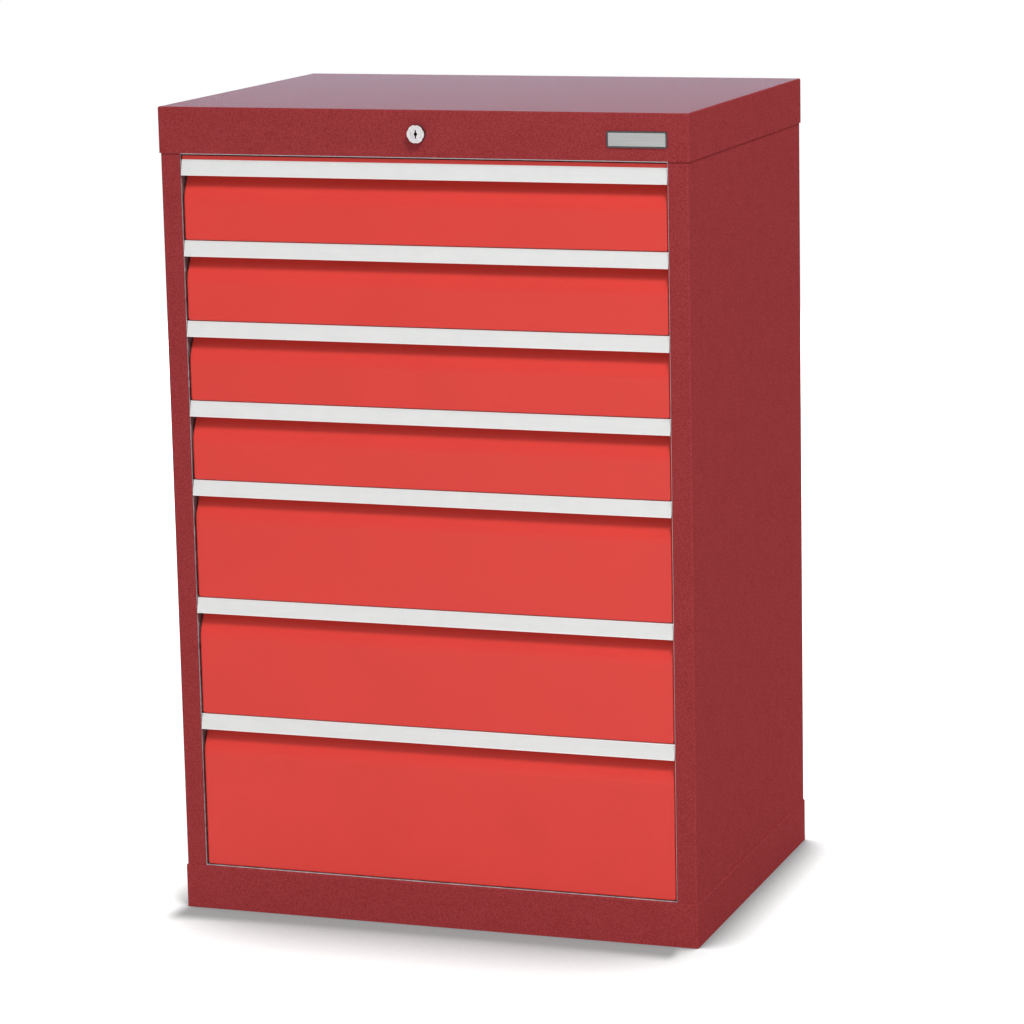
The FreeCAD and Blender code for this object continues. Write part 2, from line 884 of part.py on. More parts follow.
def drawer_tray(name, pitch):
    """An open sheet tray that hangs behind the front."""
    body = new_body(name)
    height = pitch - size("tray_drop") - tray_floor
    outline = new_sketch(body, "XY_Plane")
    draw_rectangle(outline, (-tray_half, front_rear), (tray_half, tray_back))
    solid = pad(body, outline, height)
    shell(body, solid, size("tray_sheet"), lambda middle: near(middle.z, height))
    return body


# Lock: a key turns the cam, the cam pushes the link aside, and the link's sloping slot
# lifts the bar, whose hooks then stand in front of a stud on every drawer

lock_level = case_top - size("lock_drop")
lock_front = front_plane - size("lock_reach")
lock_rear = front_plane + size("lock_depth")
cam_rear = lock_rear + size("cam_sheet")
link_front = cam_rear + size("cam_gap")
link_rear = link_front + size("link_sheet")
link_travel = size("cam_arm") * ROOT_TWO
bolt_lift = link_travel * size("bolt_slope")
pin_swing = size("cam_arm") / ROOT_TWO
link_middle = (pin_swing + size("cam_arm")) / 2

bar_front = post_back + size("bar_gap")
bar_back = bar_front + size("bar_sheet")
bar_outer = side_inner - size("bar_wall_gap")
bar_inner = bar_outer - size("bar_width")
bolt_pin_x = bar_inner + size("bar_width") / 2 - size("bolt_pin_inset")
bolt_slot = size("pin_radius") + size("link_pin_play")
plate_left = bolt_pin_x - link_travel - bolt_slot - size("link_wall")
hook_top = tray_floor + size("stud_lift") - size("stud_radius") - size("hook_stud_gap")


def lock_housing():
    """The housing through fascia and header: a scalloped face, a barrel and the plug's bore."""
    body = new_body("lock_housing")
    face = new_sketch(body, "XZ_Plane", offset=-front_plane)
    draw_circle(face, (ZERO, ZERO), size("lock_face"))
    pad(body, face, size("lock_reach"))
    scallop = new_sketch(body, "XZ_Plane", offset=-lock_front)
    draw_circle(scallop, (ZERO, size("lock_face") + size("lock_scallop")
                          - size("lock_scallop_depth")), size("lock_scallop"))
    notch = pocket(body, scallop, size("lock_reach"))
    notches = body.newObject("PartDesign::PolarPattern", "lock_scallops")
    notches.Originals = [notch]
    notches.Axis = (scallop, ["N_Axis"])
    notches.Angle = 360
    notches.Occurrences = LOCK_SCALLOPS
    body.Tip = notches
    barrel = new_sketch(body, "XZ_Plane", offset=-front_plane)
    draw_circle(barrel, (ZERO, ZERO), size("lock_barrel"))
    pad(body, barrel, size("lock_depth"), reverse=True)
    bore = new_sketch(body, "XZ_Plane", offset=-lock_front)
    draw_circle(bore, (ZERO, ZERO), size("plug_radius") + size("plug_play"))
    pocket(body, bore, lock_rear - lock_front)
    place(body, z=lock_level)
    return body


def lock_nut():
    """The hexagon nut that pulls the housing against the fascia."""
    nut = doc.addObject("Part::Prism", "lock_nut_blank")
    nut.Placement = FreeCAD.Placement(FreeCAD.Vector(),
                                      FreeCAD.Rotation(FreeCAD.Vector(1, 0, 0), -90))
    bind(nut, "Circumradius", size("nut_radius"))
    bind(nut, "Height", size("nut_height"))
    header_back = stile_back + size("post_sheet")
    place(nut, ZERO, header_back, lock_level)
    thread = cylinder("lock_nut_thread", size("lock_barrel") + size("lock_barrel_play") / 2,
                      size("nut_height"), (ZERO, header_back, lock_level), "Y")
    return cut("lock_nut", nut, thread)


def lock_cylinder():
    """The plug that the key turns, with a square tail for the cam."""
    start = lock_front + size("plug_inset")
    plug = cylinder("plug", size("plug_radius"), lock_rear - start,
                    (ZERO, start, lock_level), "Y")
    slot_half = size("key_slot_width") / 2
    slot_rise = size("key_slot_height") / 2
    slot = block("key_slot", (-slot_half, start, lock_level - slot_rise),
                 (slot_half, start + size("key_slot_depth"), lock_level + slot_rise))
    hole = cylinder("key_hole", size("key_hole"), size("key_slot_depth"),
                    (ZERO, start, lock_level), "Y")
    tail = size("tail_side") / 2
    square = block("plug_tail", (-tail, lock_rear, lock_level - tail),
                   (tail, cam_rear, lock_level + tail))
    slotted = cut("slotted_plug", plug, fused("key_way", [slot, hole]))
    return fused("lock_cylinder", [slotted, square])


def lock_cam():
    """The cam, drawn with its arm upright and turned back by half its swing."""
    body = new_body("lock_cam")
    half = size("pin_radius") * 2
    plate = new_sketch(body, "XZ_Plane", offset=-cam_rear)
    draw_circle(plate, (ZERO, ZERO), size("cam_hub"))
    pad(body, plate, size("cam_sheet"))
    arm = new_sketch(body, "XZ_Plane", offset=-cam_rear)
    draw_rectangle(arm, (-half, ZERO), (half, size("cam_arm") + half))
    pad(body, arm, size("cam_sheet"))
    pin = new_sketch(body, "XZ_Plane", offset=-cam_rear)
    draw_circle(pin, (ZERO, size("cam_arm")), size("pin_radius"))
    pad(body, pin, link_rear - cam_rear, reverse=True)
    corner = size("tail_side") / ROOT_TWO
    seat = new_sketch(body, "XZ_Plane", offset=-lock_rear)
    draw_polygon(seat, [(corner, ZERO), (ZERO, corner), (-corner, ZERO), (ZERO, -corner)])
    pocket(body, seat, size("cam_sheet"))
    body.Placement = FreeCAD.Placement(FreeCAD.Vector(),
                                       FreeCAD.Rotation(FreeCAD.Vector(0, 1, 0), -45))
    place(body, z=lock_level)
    return body


def lock_link():
    """The strip that the cam pushes along: an upright slot for the cam's pin, and a plate with
    the sloping slot that lifts the bar."""
    body = new_body("lock_link")
    wall = size("link_wall")
    pin_slot = size("pin_radius") + size("pin_play")
    left = -pin_swing - pin_slot - wall
    plate_right = bolt_pin_x + bolt_slot + wall
    bottom = link_middle - size("link_height") / 2
    top = link_middle + size("link_height") / 2
    plate_bottom = -size("bolt_pin_drop") - bolt_slot - wall
    outline = new_sketch(body, "XZ_Plane", offset=-link_front)
    draw_polygon(outline, [
        (left, bottom),
        (plate_left, bottom),
        (plate_left, plate_bottom),
        (plate_right, plate_bottom),
        (plate_right, top),
        (left, top),
    ])
    pad(body, outline, size("link_sheet"), reverse=True)
    upright = new_sketch(body, "XZ_Plane", offset=-link_front)
    draw_slot(upright, (-pin_swing, pin_swing), (-pin_swing, size("cam_arm")), pin_slot)
    pocket(body, upright, size("link_sheet"))
    sloping = new_sketch(body, "XZ_Plane", offset=-link_front)
    draw_slot(sloping, (bolt_pin_x, -size("bolt_pin_drop")),
              (bolt_pin_x - link_travel, bolt_lift - size("bolt_pin_drop")), bolt_slot)
    pocket(body, sloping, size("link_sheet"))
    place(body, z=lock_level)
    return body


def hook_base(base):
    return base + hook_top - size("hook_height")


def lock_bar():
    """The upright flat bar behind the right stile, with an arm and a pin at its top."""
    body = new_body("lock_bar")
    arm_half = size("link_height") / 2
    pin_level = lock_level - size("bolt_pin_drop")
    arm_end = bolt_pin_x - arm_half
    bottom = hook_base(row_base[-1]) - size("hook_height")
    outline = new_sketch(body, "XZ_Plane", offset=-bar_front)
    draw_polygon(outline, [
        (bar_inner, bottom),
        (bar_outer, bottom),
        (bar_outer, pin_level + arm_half),
        (arm_end, pin_level + arm_half),
        (arm_end, pin_level - arm_half),
        (bar_inner, pin_level - arm_half),
    ])
    pad(body, outline, size("bar_sheet"), reverse=True)
    pin = new_sketch(body, "XZ_Plane", offset=-bar_front)
    draw_circle(pin, (bolt_pin_x, pin_level), size("pin_radius"))
    pad(body, pin, bar_front - link_front)
    place(body)
    return body


def lock_hooks():
    """One hook for each drawer, standing in from the bar's edge below the drawer's stud."""
    inner = tray_half + size("hook_reach_gap")
    hooks = [block("hook", (inner, bar_front, hook_base(base)),
                   (bar_inner, bar_back, base + hook_top)) for base in row_base]
    return group("lock_hooks", hooks)


def loop(name, low, high, open_axis, hole_low, hole_high):
    """A bent loop: a block with a passage right through along one axis."""
    through = [end - start for start, end in zip(low, high)][open_axis]
    hole_low, hole_high = list(hole_low), list(hole_high)
    hole_low[open_axis] = low[open_axis] - through
    hole_high[open_axis] = high[open_axis] + through
    return cut(name, block(name + "_blank", low, high),
               block(name + "_passage", hole_low, hole_high))


def lock_guides():
    """Loops on the right front post that guide the bar, and loops on the header for the link."""
    thickness = size("guide_sheet")
    play = size("guide_play")
    loops = []
    for base in (row_base[0], row_base[len(row_base) // 2], row_base[-1]):
        low = base + size("guide_length")
        loops.append(loop(
            "bar_guide",
            (bar_inner - play - thickness, post_back, low),
            (bar_outer + play + thickness, bar_back + play + thickness,
             low + size("guide_length")), 2,
            (bar_inner - play, bar_front - play, ZERO),
            (bar_outer + play, bar_back + play, ZERO)))
    header_back = stile_back + size("post_sheet")
    half = size("link_height") / 2
    middle = lock_level + link_middle
    for left in (size("link_guide_margin"),
                 plate_left - size("link_guide_margin") - size("guide_length")):
        loops.append(loop(
            "link_guide",
            (left, header_back, middle - half - play - thickness),
            (left + size("guide_length"), link_rear + play + thickness,
             middle + half + play + thickness), 0,
            (ZERO, header_back + thickness, middle - half - play),
            (ZERO, link_rear + play, middle + half + play)))
    return group("lock_guides", loops)


# The sub-parts

keep("left_side_panel", side_panel("left_side_panel", LEFT))
keep("right_side_panel", side_panel("right_side_panel", RIGHT))
keep("top_cover", top_cover())
keep("base_plinth", base_plinth())
keep("front_header", front_header())
keep("back_panel", back_panel())
keep("back_screws", back_screws())
keep("badge_plate", badge_plate())
keep("corner_posts", corner_posts())
keep("cabinet_rails", cabinet_rails())

keep("lock_housing", lock_housing())
keep("lock_nut", lock_nut())
keep("lock_cylinder", lock_cylinder())
keep("lock_cam", lock_cam())
keep("lock_link", lock_link())
keep("lock_bar", lock_bar())
keep("lock_hooks", lock_hooks())
keep("lock_guides", lock_guides())

mid_rails = mid_rail_set()
runners = runner_set()
for number, (pitch, base) in enumerate(zip(pitches, row_base), start=1):
    name = "drawer_%d_" % number
    keep(name + "front", place(drawer_front(name + "front", pitch, number == 1), z=base))
    keep(name + "handle", place(drawer_handle(name + "handle", pitch), z=base))
    keep(name + "label_strip",
         place(drawer_label_strip(name + "label_strip", pitch), z=base))
    keep(name + "tray", place(drawer_tray(name + "tray", pitch), z=base + tray_floor))
    keep(name + "runners", copy_at(name + "runners", runners, base + slide_level))
    keep(name + "mid_rails", copy_at(name + "mid_rails", mid_rails, base + slide_level))

doc.recompute()

for item in doc.Objects:
    if "Invalid" in item.State or "Error" in item.State:
        raise RuntimeError("%s did not rebuild: %s" % (item.Label, item.State))
for item in nodes:
    if item.Shape.isNull() or not item.Shape.isValid() or not item.Shape.Solids:
        raise RuntimeError("%s has no sound solid" % item.Label)

os.makedirs("parts", exist_ok=True)
for item in nodes:
    item.Shape.exportStep("parts/%s.step" % item.Label)
print("%d sub-parts written" % len(nodes))
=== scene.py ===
import json
import math

import bmesh
import bpy
from mathutils import Matrix, Vector


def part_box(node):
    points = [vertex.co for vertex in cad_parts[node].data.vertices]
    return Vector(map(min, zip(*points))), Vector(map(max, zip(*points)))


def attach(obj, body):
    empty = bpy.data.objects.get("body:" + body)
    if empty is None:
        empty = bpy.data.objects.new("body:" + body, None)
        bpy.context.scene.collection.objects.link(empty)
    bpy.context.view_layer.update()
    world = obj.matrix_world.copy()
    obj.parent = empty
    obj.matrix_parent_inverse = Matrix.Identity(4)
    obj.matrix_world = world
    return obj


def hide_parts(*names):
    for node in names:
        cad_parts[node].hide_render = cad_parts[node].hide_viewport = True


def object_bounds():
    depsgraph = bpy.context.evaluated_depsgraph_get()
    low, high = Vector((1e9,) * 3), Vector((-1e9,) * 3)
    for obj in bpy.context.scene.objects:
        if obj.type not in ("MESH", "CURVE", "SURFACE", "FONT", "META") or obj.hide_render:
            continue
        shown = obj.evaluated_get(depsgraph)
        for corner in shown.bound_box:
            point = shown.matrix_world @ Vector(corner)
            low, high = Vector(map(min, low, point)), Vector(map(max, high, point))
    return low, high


# The drawer cabinet as a product photograph: its finishes, its small detailed pieces, the floor,
# the light and the camera. Lengths are in metres in the frame of the solids: +X to the right of
# someone who faces the drawers, -Y towards that person, +Z up.

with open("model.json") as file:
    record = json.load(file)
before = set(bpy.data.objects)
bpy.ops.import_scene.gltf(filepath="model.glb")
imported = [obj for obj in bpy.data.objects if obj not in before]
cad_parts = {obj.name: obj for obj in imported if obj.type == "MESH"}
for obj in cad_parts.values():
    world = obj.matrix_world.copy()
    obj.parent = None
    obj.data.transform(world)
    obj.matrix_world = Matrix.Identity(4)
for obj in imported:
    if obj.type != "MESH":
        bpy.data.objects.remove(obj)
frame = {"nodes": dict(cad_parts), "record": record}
cad_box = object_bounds()
scene = bpy.context.scene


# Camera: where the photographer stood, the way they looked, and how long their lens was

CAMERA_PLACE = Vector((1.6383, -4.52, 1.4249))
CAMERA_AZIMUTH = math.radians(18.327)
CAMERA_DROP = math.radians(11.138)
CAMERA_ROLL = math.radians(-0.947)
CAMERA_FAR = 200.0
FOCAL_PIXELS = 3812.4
IMAGE_PIXELS = 1024.0
AXIS_PIXELS = 600.0  # how far from the photograph's left edge the lens's axis passes
SENSOR_MM = 36.0


def add_camera():
    data = bpy.data.cameras.new("photo_camera")
    data.sensor_width = SENSOR_MM
    data.lens = FOCAL_PIXELS / IMAGE_PIXELS * SENSOR_MM
    data.shift_x = 0.5 - AXIS_PIXELS / IMAGE_PIXELS
    data.clip_end = CAMERA_FAR
    camera = bpy.data.objects.new("photo_camera", data)
    scene.collection.objects.link(camera)
    ahead = Vector((-math.sin(CAMERA_AZIMUTH) * math.cos(CAMERA_DROP),
                    math.cos(CAMERA_AZIMUTH) * math.cos(CAMERA_DROP),
                    -math.sin(CAMERA_DROP)))
    level = Vector((math.cos(CAMERA_AZIMUTH), math.sin(CAMERA_AZIMUTH), 0.0))
    above = level.cross(ahead)
    right = level * math.cos(CAMERA_ROLL) + above * math.sin(CAMERA_ROLL)
    up = above * math.cos(CAMERA_ROLL) - level * math.sin(CAMERA_ROLL)
    turn = Matrix((right, up, -ahead)).transposed().to_4x4()
    camera.matrix_world = Matrix.Translation(CAMERA_PLACE) @ turn
    scene.camera = camera


# Short calls for nodes

MIX_FIRST, MIX_SECOND, MIX_RESULT = 6, 7, 2  # where a Mix node keeps its sockets for colours


class Nodes:
    """The nodes of a material or of the world."""

    def __init__(self, tree):
        self.tree = tree

    def node(self, kind, **properties):
        made = self.tree.nodes.new(kind)
        for name, value in properties.items():
            setattr(made, name, value)
        return made

    def link(self, source, target):
        self.tree.links.new(source, target)

    def coordinates(self):
        """Where a point lies in the piece's own frame."""
        return self.node("ShaderNodeTexCoord").outputs["Object"]

    def axes(self, where):
        """The X, Y and Z of some coordinates."""
        split = self.node("ShaderNodeSeparateXYZ")
        self.link(where, split.inputs["Vector"])
        return split.outputs

    def ramp(self, value, start, end, low, high, kind="LINEAR"):
        """Goes from low to high while the value goes from start to end, and stays there."""
        made = self.node("ShaderNodeMapRange", interpolation_type=kind)
        for socket, number in (("From Min", start), ("From Max", end),
                               ("To Min", low), ("To Max", high)):
            made.inputs[socket].default_value = number
        self.link(value, made.inputs["Value"])
        return made.outputs["Result"]

    def combine(self, operation, first, second):
        """Works on two values, which are numbers or the outputs of nodes."""
        made = self.node("ShaderNodeMath", operation=operation)
        for socket, value in zip(made.inputs, (first, second)):
            if isinstance(value, float):
                socket.default_value = value
            else:
                self.link(value, socket)
        return made.outputs["Value"]

    def seen_or_mirrored(self):
        """1 for rays from the camera and for what metal and glass show, else 0."""
        path = self.node("ShaderNodeLightPath")
        total = path.outputs["Is Camera Ray"]
        for other in ("Is Glossy Ray", "Is Transmission Ray"):
            total = self.combine("MAXIMUM", total, path.outputs[other])
        return total


class Finish(Nodes):
    """A new material around one Principled shader, whose sockets take the given values."""

    def __init__(self, name, **values):
        self.material = bpy.data.materials.new(name)
        self.material.use_nodes = True
        super().__init__(self.material.node_tree)
        self.surface = self.tree.nodes["Principled BSDF"]
        for socket, value in values.items():
            self.surface.inputs[socket.replace("_", " ")].default_value = value
        self.where = self.coordinates()

    def stretched(self, scale):
        """The coordinates drawn out along the axes that have a small scale."""
        mapping = self.node("ShaderNodeMapping")
        mapping.inputs["Scale"].default_value = scale
        self.link(self.where, mapping.inputs["Vector"])
        return mapping.outputs["Vector"]

    def noise(self, scale, detail=2.0, rough=0.5, where=None):
        """A cloudy pattern with that many clouds to the metre."""
        noise = self.node("ShaderNodeTexNoise")
        noise.inputs["Scale"].default_value = scale
        noise.inputs["Detail"].default_value = detail
        noise.inputs["Roughness"].default_value = rough
        self.link(where or self.where, noise.inputs["Vector"])
        return noise.outputs["Fac"]

    def lines(self, scale, **look):
        """Noise that is drawn out to lines."""
        return self.noise(1.0, where=self.stretched(scale), **look)

    def crystals(self, scale):
        """A different value for each cell of a crystal pattern."""
        cells = self.node("ShaderNodeTexVoronoi")
        cells.inputs["Scale"].default_value = scale
        self.link(self.where, cells.inputs["Vector"])
        split = self.node("ShaderNodeSeparateColor")
        self.link(cells.outputs["Color"], split.inputs["Color"])
        return split.outputs["Red"]

    def blend(self, first, first_share, second, second_share):
        """The weighted sum of two patterns."""
        return self.combine("ADD", self.combine("MULTIPLY", first, first_share),
                            self.combine("MULTIPLY", second, second_share))

    def span(self, value, low, high, start=0.35, end=0.65):
        """Stretches the middle of a pattern over a range of values."""
        return self.ramp(value, start, end, low, high)

    def mix(self, factor, first, second):
        """A colour between two others, which are colours or the outputs of nodes."""
        node = self.node("ShaderNodeMix", data_type="RGBA")
        self.link(factor, node.inputs["Factor"])
        for index, value in ((MIX_FIRST, first), (MIX_SECOND, second)):
            if isinstance(value, tuple):
                node.inputs[index].default_value = value + (1.0,)
            else:
                self.link(value, node.inputs[index])
        return node.outputs[MIX_RESULT]

    def between(self, value, first, second, **limits):
        """A colour that goes from the first to the second over the middle of a pattern."""
        return self.mix(self.span(value, 0.0, 1.0, **limits), first, second)

    def colour(self, output):
        self.link(output, self.surface.inputs["Base Color"])

    def roughness(self, output):
        self.link(output, self.surface.inputs["Roughness"])

    def bump(self, height, depth, strength):
        """Raises the surface by a pattern whose full range is that depth in metres."""
        bump = self.node("ShaderNodeBump")
        bump.inputs["Strength"].default_value = strength
        bump.inputs["Distance"].default_value = depth
        self.link(height, bump.inputs["Height"])
        self.link(bump.outputs["Normal"], self.surface.inputs["Normal"])


# Finishes

FRONT_RED = (0.64, 0.034, 0.024)
FRONT_DRIFT = 0.015  # how much darker and lighter than that red its broad clouds are
# Where turned pieces change from their face's colour to the painted shade of their sides and
# hollows
TURNED_FACE = 0.0001  # how far behind the foremost point a turned piece still has its face's look
TURNED_SIDE = 0.0005  # how far behind it the look of the sides and hollows is reached


def body_paint():
    """Fine-textured ruby powder coat: a mottle of one or two millimetres, and its grain."""
    paint = Finish("body_paint", Specular_IOR_Level=0.0, Sheen_Weight=1.0, Sheen_Roughness=0.13,
                   Sheen_Tint=(0.47, 0.82, 1.0, 1.0))
    mottle = paint.noise(640.0, detail=3.0, rough=0.6)
    fleck = paint.blend(mottle, 0.92, paint.noise(38.0), 0.08)
    paint.colour(paint.between(fleck, (0.232, 0.026, 0.027), (0.326, 0.047, 0.052),
                               start=0.38, end=0.62))
    paint.roughness(paint.span(mottle, 0.5, 0.6))
    paint.bump(paint.noise(1300.0), depth=0.00012, strength=0.5)
    return paint.material


def front_paint():
    """Smooth bright red powder coat, with the faint waviness of such a coat."""
    paint = Finish("front_paint", Specular_IOR_Level=0.4)
    darker, lighter = (tuple(channel * share for channel in FRONT_RED)
                       for share in (1.0 - FRONT_DRIFT, 1.0 + FRONT_DRIFT))
    paint.colour(paint.between(paint.noise(9.0), darker, lighter))
    peel = paint.noise(260.0, detail=1.0)
    paint.roughness(paint.span(peel, 0.42, 0.47))
    paint.bump(peel, depth=0.00006, strength=0.5)
    return paint.material


def galvanised_steel():
    """Hot-dip zinc with its crystals, each of which shines a little differently."""
    zinc = Finish("galvanised_steel", Metallic=0.85)
    cloud = zinc.noise(60.0, detail=4.0)
    spangle = zinc.blend(zinc.crystals(110.0), 0.6, cloud, 0.4)
    zinc.colour(zinc.mix(spangle, (0.34, 0.335, 0.35), (0.60, 0.595, 0.61)))
    zinc.roughness(zinc.span(spangle, 0.36, 0.56, start=0.2, end=0.8))
    zinc.bump(cloud, depth=0.00005, strength=0.4)
    return zinc.material


def grip_aluminium():
    """Anodised extrusion: fine lines along the grip."""
    metal = Finish("grip_aluminium", Metallic=0.9)
    lines = metal.lines((4.0, 2600.0, 2600.0), detail=3.0, rough=0.6)
    metal.colour(metal.between(lines, (0.70, 0.69, 0.685), (0.78, 0.77, 0.765)))
    metal.roughness(metal.span(lines, 0.34, 0.42))
    metal.bump(lines, depth=0.00002, strength=0.35)
    return metal.material


def label_strip():
    """The pale strip in the grip, drawn through a die, with a very fine tooth."""
    strip = Finish("label_strip", Specular_IOR_Level=0.3)
    blend = strip.blend(strip.lines((6.0, 900.0, 900.0)), 0.5, strip.noise(55.0, detail=3.0), 0.5)
    strip.colour(strip.between(blend, (0.655, 0.668, 0.66), (0.692, 0.703, 0.694)))
    strip.roughness(strip.span(blend, 0.5, 0.58))
    strip.bump(strip.noise(2200.0), depth=0.00002, strength=0.3)
    return strip.material


def tray_paint():
    """Grey powder coat on the trays."""
    paint = Finish("tray_paint", Specular_IOR_Level=0.4)
    mottle = paint.noise(480.0, detail=3.0, rough=0.6)
    paint.colour(paint.between(mottle, (0.185, 0.19, 0.196), (0.226, 0.231, 0.237)))
    paint.roughness(paint.span(mottle, 0.48, 0.58))
    paint.bump(paint.noise(1400.0), depth=0.0001, strength=0.5)
    return paint.material


def slide_steel():
    """Bright zinc plate on roll-formed steel, with the lines of the rolling."""
    steel = Finish("slide_steel", Metallic=0.95)
    lines = steel.lines((1500.0, 5.0, 1500.0), detail=3.0, rough=0.6)
    cloud = steel.noise(30.0, detail=3.0)
    steel.colour(steel.between(cloud, (0.6, 0.61, 0.63), (0.7, 0.71, 0.73)))
    steel.roughness(steel.span(lines, 0.24, 0.36))
    steel.bump(lines, depth=0.00002, strength=0.3)
    return steel.material


def turned_nickel(name, node, painted_shade):
    """Satin nickel plate on a turned piece, with a darker painted shade colour behind the piece's
    front face.
    """
    nickel = Finish(name, Metallic=0.9)
    cloud = nickel.noise(240.0, detail=3.0)
    bright = nickel.between(cloud, (0.60, 0.575, 0.58), (0.70, 0.67, 0.675))
    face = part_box(node)[0].y
    nickel.colour(nickel.between(nickel.axes(nickel.where)["Y"], bright, painted_shade,
                                 start=face + TURNED_FACE, end=face + TURNED_SIDE))
    nickel.roughness(nickel.span(cloud, 0.30, 0.38))
    nickel.bump(nickel.noise(1800.0), depth=0.00001, strength=0.3)
    return nickel.material


def lock_metal():
    """The housing: its scalloped side is painted darker than its face, as painted shade."""
    return turned_nickel("lock_metal", "lock_housing", (0.20, 0.165, 0.19))


def lock_plug():
    """The plug: its key slot and sides are painted near black, as painted shade."""
    return turned_nickel("lock_plug", "lock_cylinder", (0.012, 0.011, 0.012))


def linkage_steel():
    """Zinc-plated strip with a faint yellow and blue cast."""
    steel = Finish("linkage_steel", Metallic=0.95)
    cloud = steel.noise(45.0, detail=4.0)
    steel.colour(steel.between(cloud, (0.56, 0.57, 0.6), (0.68, 0.66, 0.6)))
    steel.roughness(steel.span(steel.noise(300.0, detail=3.0), 0.3, 0.42))
    steel.bump(steel.noise(700.0), depth=0.00003, strength=0.3)
    return steel.material


def badge_metal():
    """Brushed plate with nothing on it."""
    metal = Finish("badge_metal", Metallic=0.8)
    lines = metal.lines((30.0, 900.0, 3200.0), detail=3.0, rough=0.6)
    metal.colour(metal.between(lines, (0.33, 0.335, 0.335), (0.42, 0.425, 0.42)))
    metal.roughness(metal.span(lines, 0.3, 0.42))
    metal.bump(lines, depth=0.00002, strength=0.4)
    return metal.material


def badge_rim():
    """The darker frame around the badge."""
    metal = Finish("badge_rim", Metallic=0.6)
    cloud = metal.noise(500.0)
    metal.colour(metal.between(cloud, (0.055, 0.05, 0.055), (0.085, 0.08, 0.085)))
    metal.roughness(metal.span(cloud, 0.35, 0.45))
    metal.bump(metal.noise(1500.0), depth=0.00002, strength=0.3)
    return metal.material


FINISHES = {maker.__name__: maker() for maker in (
    body_paint, front_paint, galvanised_steel, grip_aluminium, label_strip, tray_paint,
    slide_steel, lock_metal, lock_plug, linkage_steel, badge_metal, badge_rim)}


def finish_nodes():
    """Gives each node the finish that the record names for it, but the lock's plug its own."""
    slots = {part["node"]: part["material_slot"] for part in frame["record"]["subparts"]}
    slots["lock_cylinder"] = "lock_plug"
    for name, item in frame["nodes"].items():
        for holder in item.material_slots:
            holder.material = FINISHES[slots[name]]


# Pieces in mesh code, in place of plainer solids

SHARP_ANGLE = math.radians(35.0)
QUARTER_TURN = math.radians(90.0)
CORNER_STEPS = 8

BADGE_CORNER = 0.003
BADGE_LEAST_RADIUS = 0.0004
BADGE_SEAT = 0.0001  # how far in front of the rim's back the plate begins
# Rings of the rim and of the plate: how far in from the badge's edge and behind its front
RIM_RINGS = ((0.0, 0.0004), (0.00012, 0.00012), (0.0004, 0.0), (0.0016, 0.0), (0.0019, 0.00015),
             (0.0020, 0.0005))
PLATE_RINGS = ((0.0020, 0.00045), (0.0023, 0.0003), (0.0027, 0.00028))

SCREW_ROWS = 5
SCREW_POINTS = 30
SCREW_HEAD, SCREW_SHANK, SCREW_SOCKET = 0.004, 0.002, 0.0015  # radii
SCREW_RISE = 0.0014  # the height of the head
SCREW_TIP, SCREW_EDGE, SOCKET_EDGE = 0.0005, 0.0001, 0.0002  # chamfers
SOCKET_SIDES = 6
# Rings of the head's dome: the height above the seat, and the share of the head's radius
SCREW_DOME = ((0.0004, 0.985), (0.0008, 0.9), (0.0011, 0.78))
SCREW_CROWN, SCREW_FLAT = 0.62, 0.5  # the same shares a chamfer below the top, and on it


def add_piece(name, mesh, finish, body, replaces=()):
    """Makes a mesh a visible piece that rides on a body."""
    bmesh.ops.recalc_face_normals(mesh, faces=mesh.faces)
    data = bpy.data.meshes.new(name)
    mesh.to_mesh(data)
    mesh.free()
    data.shade_smooth()
    data.set_sharp_from_angle(angle=SHARP_ANGLE)
    data.materials.append(FINISHES[finish])
    item = bpy.data.objects.new(name, data)
    scene.collection.objects.link(item)
    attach(item, body)
    if replaces:
        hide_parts(*replaces)


def add_skin(mesh, loops, cap_last=True):
    """Joins rings of equally many points to a skin, and closes its ends."""
    rings = [[mesh.verts.new(point) for point in loop] for loop in loops]
    count = len(rings[0])
    for before, after in zip(rings, rings[1:]):
        for index in range(count):
            following = (index + 1) % count
            mesh.faces.new((before[index], before[following], after[following], after[index]))
    mesh.faces.new(list(reversed(rings[0])))
    if cap_last:
        mesh.faces.new(rings[-1])


def rounded_outline(half_x, half_z, radius):
    """The points of a rectangle with round corners, about its middle."""
    points = []
    for corner, (x, z) in enumerate(((1, 1), (-1, 1), (-1, -1), (1, -1))):
        for step in range(CORNER_STEPS + 1):
            angle = QUARTER_TURN * (corner + step / CORNER_STEPS)
            points.append((x * (half_x - radius) + radius * math.cos(angle),
                           z * (half_z - radius) + radius * math.sin(angle)))
    return points


def add_badge():
    """A frame with a rounded bead, and inside it a bare brushed plate a little lower."""
    low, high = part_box("badge_plate")
    middle = (low + high) / 2
    half_x, half_z = (high.x - low.x) / 2, (high.z - low.z) / 2
    back, front = high.y, low.y

    def ring(inset, y):
        radius = max(BADGE_CORNER - inset, BADGE_LEAST_RADIUS)
        return [(middle.x + x, y, middle.z + z)
                for x, z in rounded_outline(half_x - inset, half_z - inset, radius)]

    def loops(start, profile):
        """The profile's rings, after one that lies straight behind its first."""
        return [ring(profile[0][0], start)] + [ring(inset, front + behind)
                                               for inset, behind in profile]

    rim, plate = bmesh.new(), bmesh.new()
    add_skin(rim, loops(back, RIM_RINGS), cap_last=False)
    add_piece("badge_rim", rim, "badge_rim", "cabinet", ["badge_plate"])
    add_skin(plate, loops(back - BADGE_SEAT, PLATE_RINGS))
    add_piece("badge_face", plate, "badge_metal", "cabinet")


